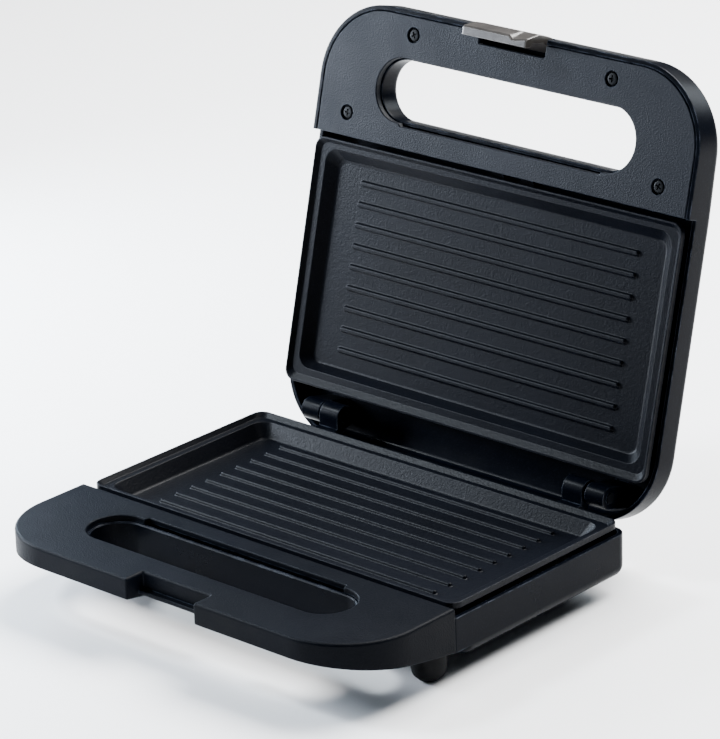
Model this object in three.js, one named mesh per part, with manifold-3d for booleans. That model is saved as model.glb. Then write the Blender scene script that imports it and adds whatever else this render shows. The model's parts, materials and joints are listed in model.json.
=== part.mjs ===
// Panini press, lid standing open. Millimetres, +Z up, front (grip side) towards -Y.
// All parts are first drawn with the lid closed, front edge at y = 0 and table at z = 0;
// the lid parts are then swung open and the whole press is centred over its footprint.
import * as THREE from "three";
import { mergeVertices } from "three/addons/utils/BufferGeometryUtils.js";
import Module from "manifold-3d";

const wasm = await Module();
wasm.setup();

// ---- driving dimensions ----
const BODY_W = 230; // overall width
const BASE_D = 189; // base, front edge to rear wall
const LID_D = 215.2; // lid, front edge to rear edge
const GRIP_D = 66.5; // depth of the grip zone
const TOP = 36; // grip face of the base above the table
const UNDER = 9; // underside of the tray above the table
const RIM_DROP = 5.3; // side walls stop this far from the grip face
const WALL = 2.4;
const FIT = 0.3; // clearance between neighbouring pieces
const CORNER_FRONT = 38;
const CORNER_LID_REAR = 36;
const CORNER_BASE_REAR = 7;
const GRIP_FRONT_H = 10.4; // front face height of the base grip
const GRIP_SLOPE = 0.168; // underside of the base grip falls away from the front

const SLOT_Y = 38.6; // grip slot centre
const SLOT_X = 78.6; // half length
const SLOT_LID = 15.7; // half width in the lid panel
const SLOT_BASE = 14.6; // half width in the base cover

const RECESS_X = 20.6; // catch recess half width
const RECESS_D = 10.8;
const LEDGE_Y = 7.6; // front of the catch ledge
const LEDGE_Z = -9.8; // its lower face, from the grip face
const LEDGE_T = 1.8;

const PLATE_RIM = 0.1; // plate edge below the grip face
const PLATE_X = 112; // edge of the plate
const PLATE_Y0 = 69;
const EDGE_H = 3; // height of the plate's edge band
const LEDGE_DROP = 2; // flat ledge between the bevelled edge and the pocket
const POCKET_X = 105.9;
const POCKET_Y0 = 74;
const FLOOR_RUN = 5.4; // horizontal run of the sloped pocket wall
const LOWER_PLATE = { edge: 186, pocket: 181.5 }; // rear limits
const UPPER_PLATE = { edge: 190.7, pocket: 183.2 };
const PLATE_T = 2.4;
const LOWER_FLOOR = 9; // cooking floor below the grip face
const UPPER_FLOOR = 7;
const RIBS = 9;
const RIB_X = 85.4;
const RIB_Y0 = 88;
const RIB_PITCH = 10.35;
const RIB_H = 1.5;
const RIB_W = 1.25;

const LID_TOP = 20; // outer face of the lid above the panel face
const LID_CROWN = 2.2;
const LID_EDGE = 5;
const LID_GRIP_TOP = 15.4; // at the front edge
const LID_GRIP_SLOPE = 0.05;
const PANEL_T = 3.2;
const PANEL_INSET = 2.5;
const LID_GAP = 0.3; // panel face above grip face, lid closed

const HINGE_Y = 201.2;
const HINGE_Z = TOP + 1.1;
const OPEN_ANGLE = 104.2;
const PIN_R = 2.5;
const LUG_R = 6;

const LATCH_X = 19.3;
const LATCH_PIVOT = [5.5, 9]; // y, z from the panel face
const LATCH_TIP = -14.5;

const FOOT_R = 8.2;
const FEET_FRONT = [101.6, 63.2];
const FEET_REAR = [90, 180];
const SCREWS_LID = [[60, 11.3], [94.8, 54.8]];
const SCREWS_BASE = [[60, 13], [87, 48.5]];
const ELEMENT_R = 3;
const LOWER_GAP = 8.6; // plate underside to reflector
const UPPER_GAP = 6.8;

// ---- finishes ----
const finish = (name, color, roughness, metalness) =>
  new THREE.MeshStandardMaterial({ name, color, roughness, metalness });
const casing = () => finish("black_plastic", 0x20242c, 0.42, 0);
const grained = () => finish("grained_plastic", 0x262a33, 0.5, 0);
const nonstick = () => finish("nonstick_coating", 0x24262c, 0.55, 0.1);
const steel = () => finish("steel", 0x9a9ca0, 0.35, 1);
const rubber = () => finish("rubber", 0x101012, 0.8, 0);
const latchGrey = () => finish("grey_plastic", 0x8a8682, 0.35, 0.2);
const ceramic = () => finish("ceramic", 0xd8d2c4, 0.6, 0);

// ---- solids ----
const M4 = THREE.Matrix4;
const slopeMatrix = (k) => new M4().set(1, 0, 0, 0, 0, 1, 0, 0, 0, k, 1, 0, 0, 0, 0, 1);

function solid(geometry) {
  geometry.deleteAttribute("normal");
  geometry.deleteAttribute("uv");
  const g = mergeVertices(geometry, 1e-4);
  const vertProperties = new Float32Array(g.attributes.position.array);
  const triVerts = new Uint32Array(g.index.array);
  return new wasm.Manifold(new wasm.Mesh({ numProp: 3, vertProperties, triVerts }));
}

const join = (list) => list.reduce((a, b) => a.add(b));
const cut = (body, list) => list.reduce((a, b) => a.subtract(b), body);

function box(x0, x1, y0, y1, z0, z1) {
  const g = new THREE.BoxGeometry(x1 - x0, y1 - y0, z1 - z0);
  g.translate((x0 + x1) / 2, (y0 + y1) / 2, (z0 + z1) / 2);
  return solid(g);
}

// rod along "x", "y" or "z", centred on (x, y, z)
function rod(axis, x, y, z, r, length, sides = 20, r2 = r) {
  const g = new THREE.CylinderGeometry(r2, r, length, sides);
  if (axis === "x") g.rotateZ(-Math.PI / 2);
  if (axis === "z") g.rotateX(Math.PI / 2);
  g.translate(x, y, z);
  return solid(g);
}

function corner(list, cx, cy, r, start, n) {
  const steps = r > 0 ? n : 0;
  for (let i = 0; i <= steps; i++) {
    const a = start + (steps ? (i / steps) * (Math.PI / 2) : 0);
    list.push(new THREE.Vector2(cx + r * Math.cos(a), cy + r * Math.sin(a)));
  }
}

// plan outline with rounded front (y0) and rear (y1) corners
function plan(x, y0, y1, rFront, rRear, n = 6) {
  const p = [];
  const q = Math.PI / 2;
  corner(p, x - rFront, y0 + rFront, rFront, -q, n);
  corner(p, x - rRear, y1 - rRear, rRear, 0, n);
  corner(p, -x + rRear, y1 - rRear, rRear, q, n);
  corner(p, -x + rFront, y0 + rFront, rFront, 2 * q, n);
  return p;
}

function stadium(cy, halfLength, halfWidth, n = 8) {
  const p = [];
  for (const side of [1, -1]) {
    for (let i = 0; i <= n; i++) {
      const a = side * (-Math.PI / 2) + (i / n) * Math.PI;
      const cx = side * (halfLength - halfWidth);
      p.push(new THREE.Vector2(cx + halfWidth * Math.cos(a), cy + halfWidth * Math.sin(a)));
    }
  }
  return p;
}

// upright slab; edge rounds both ends by s (inwards) over t (height) in n steps; slope tilts it along y
function slab(points, z0, z1, edge = null, slope = 0) {
  const e = edge ?? { s: 0, t: 0, n: 1 };
  const g = new THREE.ExtrudeGeometry(new THREE.Shape(points), {
    depth: z1 - z0 - 2 * e.t,
    bevelEnabled: edge !== null,
    bevelSize: e.s,
    bevelOffset: -e.s,
    bevelThickness: e.t,
    bevelSegments: e.n,
    curveSegments: 1,
  });
  g.translate(0, 0, z0 + e.t);
  if (slope) g.applyMatrix4(slopeMatrix(slope));
  return solid(g);
}

// ---- base ----
const gripUnder = (y) => TOP - GRIP_FRONT_H - GRIP_SLOPE * y;

// everything below the sloped underside of the grip, lifted by dz
function belowGrip(dz) {
  const z = TOP - GRIP_FRONT_H + dz;
  return slab(plan(140, -20, 90, 0, 0), z - 60, z, null, -GRIP_SLOPE);
}

function baseCover() {
  const outer = slab(plan(BODY_W / 2, 0, GRIP_D, CORNER_FRONT, 0), TOP - 30, TOP, { s: 1, t: 1, n: 2 });
  const inside = slab(
    plan(BODY_W / 2 - WALL, WALL, GRIP_D - WALL, CORNER_FRONT - WALL, 0), -10, TOP - 2.6);
  const behind = box(-BODY_W / 2 + WALL, BODY_W / 2 - WALL, 55, 70, -10, TOP - 9);
  const recess = box(-RECESS_X, RECESS_X, -5, RECESS_D, TOP - 20, TOP + 5);
  const slot = slab(stadium(SLOT_Y, SLOT_X, SLOT_BASE), TOP - 12, TOP + 5);
  let body = cut(outer, [inside, behind, belowGrip(0), recess, slot]);
  const frame = box(-RECESS_X - 2, RECESS_X + 2, 1, RECESS_D + 2, TOP + LEDGE_Z, TOP - 1);
  const ledge = box(-RECESS_X - 1, RECESS_X + 1, LEDGE_Y, RECESS_D + 1, TOP + LEDGE_Z, TOP + LEDGE_Z + LEDGE_T);
  body = join([body, cut(frame, [recess]), ledge]);
  for (const [x, y] of SCREWS_BASE) {
    for (const s of [-1, 1]) {
      const h = TOP - 2 - (gripUnder(y) + WALL + 1);
      body = body.add(rod("z", s * x, y, TOP - 2 - h / 2, 3.4, h, 12));
      body = body.subtract(rod("z", s * x, y, TOP - 3 - h / 2 - 0.2, 1.6, h + 1.5, 10));
    }
  }
  return body;
}

function lowerCasing() {
  const side = BODY_W / 2 - 0.5;
  const rim = TOP - RIM_DROP;
  const deep = slab(plan(side, 72.5, BASE_D, 6.5, CORNER_BASE_REAR, 6), UNDER, 70, { s: 6, t: 6, n: 3 })
    .subtract(box(-150, 150, 0, 250, rim, 90));
  const neck = box(-side, side, GRIP_D + FIT, 82, gripUnder(GRIP_D) - 0.2, rim);
  const nose = slab(
    plan(BODY_W / 2 - WALL - FIT, WALL + FIT, 74, CORNER_FRONT - WALL - FIT, 0),
    TOP - GRIP_FRONT_H, TOP - GRIP_FRONT_H + WALL, null, -GRIP_SLOPE);
  let body = join([deep, neck, nose]);
  const tray = slab(plan(side - WALL, 75.5, BASE_D - WALL, 5, CORNER_BASE_REAR - WALL, 6), UNDER + 2.5, 90);
  const mouth = box(-side + WALL, side - WALL, 69.2, 80, gripUnder(GRIP_D) + 2.4, 90);
  const coverRoom = box(-104, 104, RECESS_D - 30, RECESS_D + 2 + FIT, 0, TOP + 5)
    .intersect(box(-RECESS_X - 2 - FIT, RECESS_X + 2 + FIT, -30, 40, 0, 60));
  body = cut(body, [tray, mouth, coverRoom]);
  // wall of the grip slot
  const tubeOuter = slab(stadium(SLOT_Y, SLOT_X + 0.6, SLOT_BASE + 0.6), 10, TOP - 2.6 - FIT);
  const tubeInner = slab(stadium(SLOT_Y, SLOT_X - 1.2, SLOT_BASE - 1.2), 0, 60);
  body = body.add(tubeOuter.subtract(belowGrip(0.2))).subtract(tubeInner);
  // posts under the reflector
  for (const x of [-80, 80]) {
    for (const y of [92, 164]) body = body.add(rod("z", x, y, UNDER + 3.6, 3, 3.6, 12));
  }
  // hinge lugs
  for (const s of [-1, 1]) {
    const x0 = s > 0 ? 70 : -82;
    body = body.add(box(x0, x0 + 12, BASE_D - 1, HINGE_Y, TOP - 9, TOP - 3.5));
    body = body.add(box(x0, x0 + 12, HINGE_Y - LUG_R, HINGE_Y, TOP - 9, HINGE_Z));
    body = body.add(rod("x", x0 + 6, HINGE_Y, HINGE_Z, LUG_R, 12, 24));
    body = body.subtract(rod("x", x0 + 6, HINGE_Y, HINGE_Z, PIN_R + FIT, 30, 20));
  }
  // holes for screws, foot stems and the cord gland
  const holes = [rod("y", -45, BASE_D - 1, 22, 5.3, 12, 20)];
  for (const s of [-1, 1]) {
    for (const [x, y] of SCREWS_BASE) holes.push(rod("z", s * x, y, 20, 1.9, 30, 10));
    holes.push(rod("z", s * FEET_FRONT[0], FEET_FRONT[1], 20, 2.8, 30, 12));
    holes.push(rod("z", s * FEET_REAR[0], FEET_REAR[1], 10, 2.8, 10, 12));
  }
  return cut(body, holes);
}

// dome foot with a flat sole and a push-in stem
function foot(x, y, height, front) {
  const profile = [[0, 0], [3.6, 0], [5.8, 0.9], [7.4, 2.8], [FOOT_R, 5.4], [FOOT_R, height], [0, height]];
  const g = new THREE.LatheGeometry(profile.map(([r, z]) => new THREE.Vector2(r, z)), 24);
  g.rotateX(Math.PI / 2);
  g.translate(x, y, 0);
  let body = solid(g);
  if (front) body = body.subtract(slab(plan(140, -20, 90, 0, 0), gripUnder(0) - 0.2, 90, null, -GRIP_SLOPE));
  const stemTop = front ? gripUnder(y) + 3.4 : UNDER + 3.6;
  return body.add(rod("z", x, y, stemTop / 2 + 1.5, 2.4, stemTop - 3, 12));
}

// solid through a stack of convex outlines, lowest first, each { p, z } with the same number of points
function stack(layers) {
  const n = layers[0].p.length;
  const position = layers.flatMap(({ p, z }) => p.flatMap((v) => [v.x, v.y, z]));
  const index = [];
  for (let k = 0; k + 1 < layers.length; k++) {
    for (let i = 0; i < n; i++) {
      const [a, b] = [k * n + i, k * n + ((i + 1) % n)];
      index.push(a, b, b + n, a, b + n, a + n);
    }
  }
  const top = (layers.length - 1) * n;
  for (let i = 1; i + 1 < n; i++) index.push(0, i + 1, i, top, top + i, top + i + 1);
  const g = new THREE.BufferGeometry();
  g.setAttribute("position", new THREE.BufferAttribute(new Float32Array(position), 3));
  g.setIndex(index);
  return solid(g);
}

// cooking plate with the floor facing +Z, edge at zRim: bevelled edge, flat ledge, sloped pocket, ribbed floor;
// screw bosses reach gap below it
function cookingPlate(zRim, depth, gap, rear) {
  const level = (x, y0, y1, r, z) => ({ p: plan(x, y0, y1, r, r, 5), z });
  const floor = zRim - depth;
  const ledge = zRim - LEDGE_DROP;
  const floorX = POCKET_X - FLOOR_RUN;
  const floorY = [POCKET_Y0 + FLOOR_RUN, rear.pocket - FLOOR_RUN];
  const edge = slab(plan(PLATE_X, PLATE_Y0, rear.edge, 5.5, 5.5, 5), zRim - EDGE_H, zRim);
  const under = stack([
    level(floorX + 1.4, floorY[0] - 1.4, floorY[1] + 1.4, 5, floor - PLATE_T),
    level(107.8, 72.6, rear.edge - 3.4, 7, ledge - 2.6),
    level(109.8, 71, rear.edge - 2, 6, zRim - EDGE_H + 0.5),
  ]);
  const pocket = stack([
    level(floorX, floorY[0], floorY[1], 5, floor),
    level(POCKET_X, POCKET_Y0, rear.pocket, 7.5, ledge),
    level(109.4, PLATE_Y0 + 2.4, rear.edge - 2.2, 4.5, ledge),
    level(PLATE_X - 0.5, PLATE_Y0 + 0.5, rear.edge - 0.5, 5, zRim),
    level(PLATE_X - 0.5, PLATE_Y0 + 0.5, rear.edge - 0.5, 5, zRim + 2),
  ]);
  let body = join([edge, under]).subtract(pocket);
  for (let i = 0; i < RIBS; i++) {
    const edge = { s: 0.45, t: 0.5, n: 1 };
    body = body.add(slab(stadium(RIB_Y0 + i * RIB_PITCH, RIB_X, RIB_W, 4), floor - 1, floor + RIB_H, edge));
  }
  for (const x of [-42, 42]) {
    const h = gap - FIT + 1;
    body = body.add(rod("z", x, 128, floor - PLATE_T + 1 - h / 2, 4.2, h, 12));
    body = body.subtract(rod("z", x, 128, floor - PLATE_T - 0.2 - h / 2, 2.1, h, 10));
  }
  return body;
}

// U-shaped tubular heater lying just under a surface at height z
function heater(z) {
  const zc = z - FIT - ELEMENT_R;
  const bend = new THREE.TorusGeometry(28, ELEMENT_R, 8, 24);
  bend.translate(-52, 128, zc);
  let body = solid(bend).intersect(box(-120, -52, 60, 200, zc - 10, zc + 10));
  for (const y of [100, 156]) {
    body = body.add(rod("x", 11, y, zc, ELEMENT_R, 126.5, 8));
    body = body.add(rod("x", 78, y, zc, 1.6, 12, 8));
  }
  return body;
}

// folded reflector sheet with its flat at height z
function reflector(z) {
  const pl = (inset) => plan(88 - inset, 84 + inset, 172 - inset, 6, 6, 3);
  let body = slab(pl(0), z - 0.8, z + 2.4).subtract(slab(pl(0.8), z, z + 5));
  for (const x of [-42, 42]) body = body.subtract(rod("z", x, 128, z, 2.4, 6, 12));
  return body;
}

// pan-head screw, head towards -Z with a cross recess, head face at z
function screw(x, y, z, r, headH, shankR, length) {
  const head = rod("z", x, y, z + headH / 2, r, headH, 16);
  const shank = rod("z", x, y, z + headH + length / 2 - 0.1, shankR, length, 10);
  const a = box(x - r * 0.62, x + r * 0.62, y - 0.45, y + 0.45, z - 1, z + headH * 0.55);
  const b = box(x - 0.45, x + 0.45, y - r * 0.62, y + r * 0.62, z - 1, z + headH * 0.55);
  return cut(join([head, shank]), [a, b]);
}

function cordGland() {
  const flange = rod("y", -45, BASE_D + FIT + 1.2, 22, 7, 2.4, 20);
  const neck = rod("y", -45, BASE_D - 1, 22, 5, 7, 20);
  const tail = rod("y", -45, BASE_D + 5, 22, 4.4, 5.6, 20, 3.7);
  return join([flange, neck, tail]).subtract(rod("y", -45, BASE_D, 22, 3.2, 30, 16));
}

function thermostat(z) {
  return join([rod("z", 0, 128, z - 1.6, 8, 2.6, 20), rod("z", 0, 128, z - 4.6, 6.8, 4, 20)]);
}

function terminalBlock() {
  let body = box(90, 104, 140, 166, UNDER + 2.8, UNDER + 11.5);
  for (const y of [146, 153, 160]) body = body.subtract(rod("z", 97, y, UNDER + 10.5, 1.8, 6, 10));
  return body;
}

// ---- lid (drawn closed, panel face at z = 0) ----
function upperCasing() {
  const side = BODY_W / 2;
  const gripPlan = plan(side, 0, 120, CORNER_FRONT, 0, 7);
  const grip = slab(gripPlan, -20, LID_GRIP_TOP, { s: 4, t: 4, n: 3 }, LID_GRIP_SLOPE)
    .intersect(box(-150, 150, -5, GRIP_D + 1, 0, 60));
  const back = slab(plan(side, 20, LID_D, 0, CORNER_LID_REAR), -20, LID_TOP, { s: LID_EDGE, t: LID_EDGE, n: 3 })
    .intersect(box(-150, 150, GRIP_D, 250, RIM_DROP, 60));
  const crown = slab(plan(98, 78, 196, 18, 24, 6), 10, LID_TOP + LID_CROWN, { s: 12, t: LID_CROWN, n: 2 });
  let body = join([grip, back, crown]);
  const inPlan = (inset, y0, y1) =>
    plan(side - inset, y0, y1, CORNER_FRONT - inset, CORNER_LID_REAR - inset);
  const room = slab(inPlan(WALL, WALL, LID_D - WALL), -5, LID_GRIP_TOP - 2.6 + 0.1);
  const backRoom = slab(plan(side - WALL, 60, LID_D - WALL, 3, CORNER_LID_REAR - WALL), -5, LID_TOP - 2.6);
  const crownRoom = slab(plan(84, 90, 184, 6, 12, 4), 5, LID_TOP + LID_CROWN - 2.6);
  body = cut(body, [room, backRoom, crownRoom]);
  // grip slot tube, opening out towards the outer face
  const tube = slab(stadium(SLOT_Y, SLOT_X + 1, SLOT_LID + 1), PANEL_T + FIT, LID_GRIP_TOP + 1);
  const bore = slab(stadium(SLOT_Y, SLOT_X - 1, SLOT_LID - 1), -5, 40);
  const mouth = stadium(SLOT_Y, SLOT_X + 6, SLOT_LID + 6);
  const flare = slab(mouth, LID_GRIP_TOP - 2, 40, { s: 8, t: 6, n: 2 }, LID_GRIP_SLOPE);
  body = body.add(tube).subtract(bore).subtract(flare);
  // stiffening wall behind the panel, screw bosses
  body = body.add(box(-side + 1, side - 1, GRIP_D - WALL, GRIP_D, PANEL_T + FIT, 15.5));
  for (const [x, y] of SCREWS_LID) {
    for (const s of [-1, 1]) {
      body = body.add(rod("z", s * x, y, (PANEL_T + FIT + 14) / 2, 3.4, 14 - PANEL_T - FIT, 12));
      body = body.subtract(rod("z", s * x, y, 6.5, 1.7, 9, 10));
    }
  }
  // the front wall is open where the latch passes, with brackets for its pin
  body = body.subtract(box(-LATCH_X - 0.7, LATCH_X + 0.7, -5, WALL + 0.4, -5, 8.6));
  for (const s of [-1, 1]) {
    const x0 = s > 0 ? LATCH_X + 1.2 : -LATCH_X - 4.6;
    body = body.add(box(x0, x0 + 3.4, 1.5, 9, 5, 13.5));
    body = body.subtract(rod("x", x0 + 1.7, LATCH_PIVOT[0], LATCH_PIVOT[1], 1.5 + FIT, 6, 14));
  }
  // hinge lugs
  const hz = HINGE_Z - TOP - LID_GAP;
  for (const s of [-1, 1]) {
    const x0 = s > 0 ? 83 : -94;
    body = body.add(box(x0, x0 + 11, HINGE_Y - 5.5, HINGE_Y + 5.5, hz, LID_TOP - 2));
    body = body.add(rod("x", x0 + 5.5, HINGE_Y, hz, 5.5, 11, 24));
    body = body.subtract(rod("x", x0 + 5.5, HINGE_Y, hz, PIN_R + FIT, 30, 20));
  }
  // lens holes
  for (const x of [-9, 9]) body = body.subtract(rod("z", x, 72, 18, 3.3, 12, 16));
  return body;
}

function gripPanel() {
  const r = CORNER_FRONT - PANEL_INSET;
  const x = BODY_W / 2 - PANEL_INSET - 0.2;
  let body = slab(plan(x, PANEL_INSET + 0.2, GRIP_D - 0.2, r, 0.5), 0, PANEL_T, { s: 0.4, t: 0.4, n: 1 });
  body = body.subtract(box(-LATCH_X - 0.7, LATCH_X + 0.7, -5, 8.6, -5, 10));
  body = body.subtract(slab(stadium(SLOT_Y, SLOT_X, SLOT_LID), -5, 20));
  for (const [sx, y] of SCREWS_LID) {
    for (const s of [-1, 1]) {
      body = body.subtract(rod("z", s * sx, y, 0, 3.8, 4.4, 20));
      body = body.subtract(rod("z", s * sx, y, 0, 1.7, 12, 10));
    }
  }
  return body;
}

// profile across the latch (y, z): finger face towards -y, tooth at the tip, knuckle on the pin
const LATCH_PROFILE = [
  [0.5, LATCH_TIP], [4.1, LATCH_TIP], [4.1, LATCH_TIP + 3.9], [2.0, LATCH_TIP + 5], [1.6, -1],
  [3.0, 2.6], [7.4, 7.1], [5.5, 9], [2.8, 8.3], [1.3, 7.2], [-1, 4.6], [-1.7, 0], [-2.1, -5.5],
  [-0.5, LATCH_TIP + 0.9],
];

function latch() {
  const [py, pz] = LATCH_PIVOT;
  const profile = new THREE.Shape(LATCH_PROFILE.map(([y, z]) => new THREE.Vector2(y, z)));
  const g = new THREE.ExtrudeGeometry(profile, { depth: 2 * LATCH_X, bevelEnabled: false });
  g.applyMatrix4(new M4().set(0, 0, 1, -LATCH_X, 1, 0, 0, 0, 0, 1, 0, 0, 0, 0, 0, 1));
  const boss = rod("x", 0, py, pz, 2.9, 2 * LATCH_X, 20);
  return join([solid(g), boss]).subtract(rod("x", 0, py, pz, 1.5 + FIT, 60, 14));
}

function lens(x) {
  const profile = [[0, 0], [2.9, 0], [2.9, 4.6], [2.2, 5.3], [0, 5.6]];
  const g = new THREE.LatheGeometry(profile.map(([r, z]) => new THREE.Vector2(r, z)), 16);
  g.rotateX(Math.PI / 2);
  g.translate(x, 72, LID_TOP - 4.8);
  return solid(g);
}

// ---- assembly ----
const group = new THREE.Group();
group.name = "panini_press";

function addPart(name, body, material, matrix = null) {
  const m = body.getMesh();
  const g = new THREE.BufferGeometry();
  g.setAttribute("position", new THREE.BufferAttribute(new Float32Array(m.vertProperties), 3));
  g.setIndex(new THREE.BufferAttribute(new Uint32Array(m.triVerts), 1));
  if (matrix) g.applyMatrix4(matrix);
  g.computeVertexNormals();
  const mesh = new THREE.Mesh(g, material);
  mesh.name = name;
  group.add(mesh);
}

const swing = new M4().makeTranslation(0, HINGE_Y, HINGE_Z)
  .multiply(new M4().makeRotationX(-THREE.MathUtils.degToRad(OPEN_ANGLE)))
  .multiply(new M4().makeTranslation(0, -HINGE_Y, TOP + LID_GAP - HINGE_Z));
// the upper plate and heater are drawn face up, then turned face down about Y
const faceDown = swing.clone().multiply(new M4().makeRotationY(Math.PI));

addPart("lower_casing", lowerCasing(), casing());
addPart("base_grip_cover", baseCover(), grained());
addPart("lower_cooking_plate",
  cookingPlate(TOP - PLATE_RIM, LOWER_FLOOR - PLATE_RIM, LOWER_GAP, LOWER_PLATE), nonstick());
const lowerUnder = TOP - LOWER_FLOOR - PLATE_T;
addPart("lower_heating_element", heater(lowerUnder), steel());
addPart("lower_reflector", reflector(lowerUnder - LOWER_GAP), steel());
addPart("thermostat", thermostat(lowerUnder), steel());
addPart("thermal_fuse", rod("x", 0, 110, lowerUnder - 2.3, 2, 14, 14), ceramic());
addPart("terminal_block", terminalBlock(), ceramic());
addPart("cord_gland", cordGland(), rubber());
for (const [side, s] of [["left", -1], ["right", 1]]) {
  addPart(`foot_front_${side}`, foot(s * FEET_FRONT[0], FEET_FRONT[1], 20, true), rubber());
  addPart(`foot_rear_${side}`, foot(s * FEET_REAR[0], FEET_REAR[1], UNDER - 0.2, false), rubber());
  addPart(`hinge_pin_${side}`, rod("x", s * 82, HINGE_Y, HINGE_Z, PIN_R, 25, 20), steel());
  addPart(`lower_plate_screw_${side}`,
    screw(s * 42, 128, lowerUnder - LOWER_GAP - 0.8 - 1.9, 3.4, 1.8, 1.7, 7), steel());
  SCREWS_BASE.forEach(([x, y], i) => addPart(`cover_screw_${side}_${i + 1}`,
    screw(s * x, y, gripUnder(y) - 1.9 - GRIP_SLOPE * 3, 2.8, 1.4, 1.3, 9), steel()));
}

addPart("upper_casing", upperCasing(), casing(), swing);
addPart("lid_grip_panel", gripPanel(), grained(), swing);
addPart("upper_cooking_plate",
  cookingPlate(-PLATE_RIM, UPPER_FLOOR - PLATE_RIM, UPPER_GAP, UPPER_PLATE), nonstick(), faceDown);
const upperUnder = -UPPER_FLOOR - PLATE_T;
addPart("upper_heating_element", heater(upperUnder), steel(), faceDown);
addPart("upper_reflector", reflector(upperUnder - UPPER_GAP), steel(), faceDown);
for (const [side, s] of [["left", -1], ["right", 1]]) {
  SCREWS_LID.forEach(([x, y], i) => addPart(`panel_screw_${side}_${i + 1}`,
    screw(s * x, y, 0.5, 2.9, 1.4, 1.3, 7), steel(), swing));
}
for (const [side, s] of [["left", -1], ["right", 1]]) {
  addPart(`upper_plate_screw_${side}`,
    screw(-s * 42, 128, upperUnder - UPPER_GAP - 0.8 - 1.9, 3.4, 1.8, 1.7, 5.5), steel(), faceDown);
}
addPart("latch_pin", rod("x", 0, LATCH_PIVOT[0], LATCH_PIVOT[1], 1.5, 2 * LATCH_X + 8, 14), steel(), swing);
addPart("latch", latch(), latchGrey(), swing);
addPart("lens_red", lens(-9), finish("red_lens", 0xb01818, 0.2, 0), swing);
addPart("lens_green", lens(9), finish("green_lens", 0x1c9a3c, 0.2, 0), swing);

// centre the press over its own footprint
const bounds = new THREE.Box3().setFromObject(group);
const centre = bounds.getCenter(new THREE.Vector3());
for (const mesh of group.children) mesh.geometry.translate(-centre.x, -centre.y, -bounds.min.z);

export default group;
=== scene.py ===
"""Panini press, lid standing open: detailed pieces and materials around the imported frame."""

import json
import math

import bmesh
import bpy
from mathutils import Matrix, Vector
from mathutils.geometry import delaunay_2d_cdt


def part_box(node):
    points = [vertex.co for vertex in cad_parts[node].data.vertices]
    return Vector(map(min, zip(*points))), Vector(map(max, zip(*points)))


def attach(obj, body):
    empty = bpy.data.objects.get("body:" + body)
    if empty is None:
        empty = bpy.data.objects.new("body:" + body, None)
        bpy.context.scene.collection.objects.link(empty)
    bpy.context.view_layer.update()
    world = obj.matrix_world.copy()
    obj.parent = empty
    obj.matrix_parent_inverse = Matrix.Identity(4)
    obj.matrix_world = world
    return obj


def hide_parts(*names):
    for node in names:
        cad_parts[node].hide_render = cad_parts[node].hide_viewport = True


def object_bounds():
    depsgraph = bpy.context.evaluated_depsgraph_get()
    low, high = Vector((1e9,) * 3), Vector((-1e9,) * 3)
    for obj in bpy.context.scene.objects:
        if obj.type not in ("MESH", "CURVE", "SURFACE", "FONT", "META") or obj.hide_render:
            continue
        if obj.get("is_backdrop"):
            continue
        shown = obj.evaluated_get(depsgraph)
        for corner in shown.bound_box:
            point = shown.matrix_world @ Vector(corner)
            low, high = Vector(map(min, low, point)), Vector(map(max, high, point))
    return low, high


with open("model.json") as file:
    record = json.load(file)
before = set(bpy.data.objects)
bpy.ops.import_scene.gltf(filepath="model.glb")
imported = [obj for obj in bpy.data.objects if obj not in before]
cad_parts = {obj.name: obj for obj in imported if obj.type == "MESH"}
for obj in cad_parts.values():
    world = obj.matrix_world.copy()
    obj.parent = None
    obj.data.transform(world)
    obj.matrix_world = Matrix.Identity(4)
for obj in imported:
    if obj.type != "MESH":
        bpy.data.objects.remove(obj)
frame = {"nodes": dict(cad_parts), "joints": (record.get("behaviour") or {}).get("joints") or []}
cad_low, cad_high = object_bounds()

MM = 0.001

# ---- dimensions, millimetres; drawn closed, front edge at y = 0, table at z = 0 ----
BODY_W = 230
BASE_D = 189
LID_D = 215.2
GRIP_D = 66.5
TOP = 36
UNDER = 9
RIM_DROP = 5.3
WALL = 2.4
FIT = 0.3
CORNER_FRONT = 38
CORNER_LID_REAR = 36
CORNER_BASE_REAR = 7
SLOT_Y = 38.6
SLOT_X = 78.6
SLOT_LID = 15.7
SLOT_BASE = 14.6
GRIP_DROP = 10.4
GRIP_SLOPE = 0.168
RECESS_X = 20.6
RECESS_D = 10.8
LEDGE_Y = 7.6
LEDGE_Z = -9.8
LEDGE_T = 1.8
PLATE_X = 112
PLATE_Y0 = 69
PLATE_RIM = 0.1
PLATE_T = 2.4
EDGE_H = 3
LEDGE_DROP = 2
LOWER_FLOOR = 9
UPPER_FLOOR = 7
LOWER_PLATE = (186, (3.2, 5.8, 10.3))
UPPER_PLATE = (190.7, (3.8, 7.4, 10.8))
RIBS = 9
RIB_X = 85.4
RIB_Y0 = 88
RIB_PITCH = 10.35
LID_TOP = 20
LID_GRIP_TOP = 15.4
LID_GRIP_SLOPE = 0.05
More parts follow.
